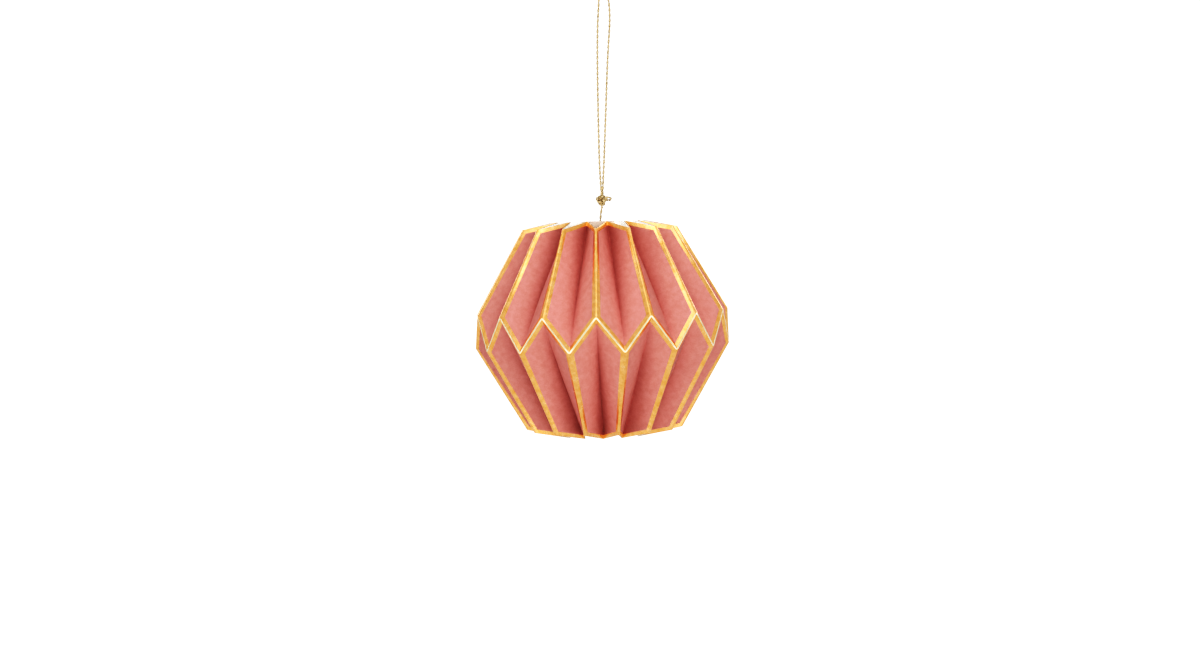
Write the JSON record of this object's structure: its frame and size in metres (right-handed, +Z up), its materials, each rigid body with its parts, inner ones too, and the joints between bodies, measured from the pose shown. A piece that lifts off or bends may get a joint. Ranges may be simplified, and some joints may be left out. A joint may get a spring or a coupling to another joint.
{
  "type": "honeycomb paper ornament",
  "caption": "Hanging ball of pleated pink card, its upper and lower rows meeting in a zigzag, gold foil along the edges and ridges, on a knotted gold cord with a hanging loop.",
  "frame": {"origin": "inside the top of the cord's loop, where a hook or twig bears", "axes": "+Z up along the plumb line of the hanging ornament, +X to the right as seen from the front, -Y to the front, where one ridge of the upper row faces"},
  "size_m": [0.1197, 0.12, 0.2081],
  "materials": {
    "pink_card": "matt coloured card, white on the inside",
    "gold_foil": "satin hot-stamped gold foil",
    "white_card": "matt white card",
    "gold_cord": "twisted metallic gold thread"
  },
  "bodies": {
    "root": {"upper_row": "pink_card", "lower_row": "pink_card", "upper_gold_border": "gold_foil", "lower_gold_border": "gold_foil", "seam_tabs": "white_card", "hanger_strip": "white_card", "stopper_knot": "gold_cord", "cord_stem": "gold_cord", "loop_knot": "gold_cord", "cord_loop": "gold_cord"}
  },
  "joints": []
}
